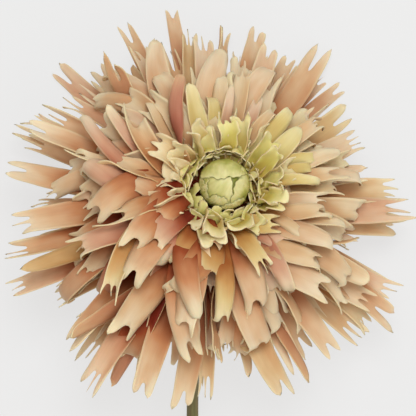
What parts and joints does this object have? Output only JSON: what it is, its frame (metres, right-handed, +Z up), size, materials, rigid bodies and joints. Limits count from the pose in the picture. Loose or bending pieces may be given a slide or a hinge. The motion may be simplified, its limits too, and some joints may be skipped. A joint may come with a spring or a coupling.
{
  "type": "cut dahlia",
  "caption": "Cut dahlia with cream-peach petals cut into fingers at their tips, a pale green closed centre and a bare stem lying along the surface.",
  "frame": {"origin": "under the middle of the whole flower's box, on the surface that it lies on", "axes": "+Z up, away from the surface, which the bloom looks along; the stem lies along -Y and the bloom is at the +Y end"},
  "size_m": [0.1677, 0.3199, 0.0808],
  "materials": {
    "outer_petal": "soft matt petal, cream at the tip and peach to rose towards the root",
    "inner_petal": "soft matt petal, peach outside and yellow-green near the centre, with pale cut edges",
    "bud": "satin pale yellow-green, closed young florets",
    "calyx_green": "satin leaf green",
    "stem_green": "satin olive brown, finely ribbed"
  },
  "bodies": {
    "root": {"outer_petals": "outer_petal", "inner_petals": "inner_petal", "centre_bud": "bud", "calyx": "calyx_green", "stem": "stem_green"}
  },
  "joints": []
}
